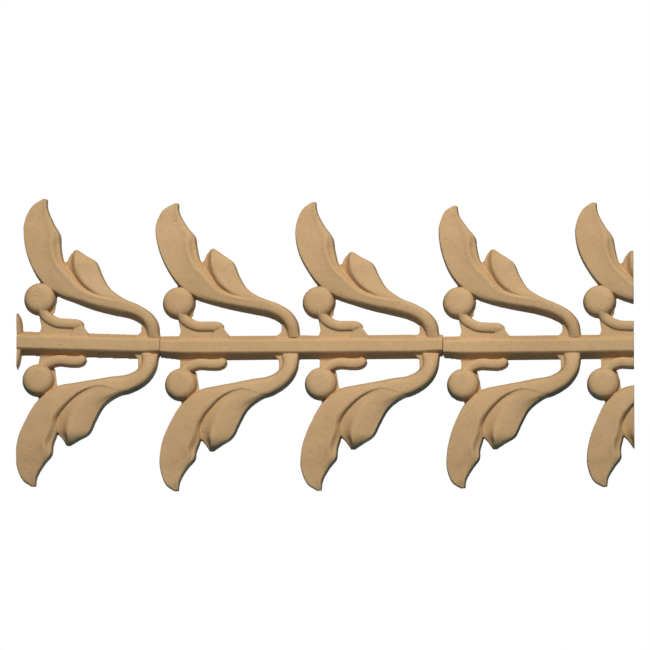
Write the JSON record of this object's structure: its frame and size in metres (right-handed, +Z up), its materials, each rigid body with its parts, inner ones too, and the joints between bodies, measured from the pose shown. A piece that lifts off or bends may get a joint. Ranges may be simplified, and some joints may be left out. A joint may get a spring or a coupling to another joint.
{
  "type": "running leaf moulding",
  "caption": "Cast resin trim: a straight rib carrying leaf sprays above and below, each with a side lobe and a berry on a curved stem; flat back, fixed to a wall or panel.",
  "frame": {"origin": "on the flat back of the rib, halfway along the length shown", "axes": "+X along the rib, away from the side the leaves lean to; +Y out of the flat back, into the wall; +Z up the wall"},
  "size_m": [0.2402, 0.0065, 0.1158],
  "materials": {
    "resin": "matte"
  },
  "bodies": {
    "root": {"left_casting": "resin", "middle_casting": "resin", "right_casting": "resin"}
  },
  "joints": []
}
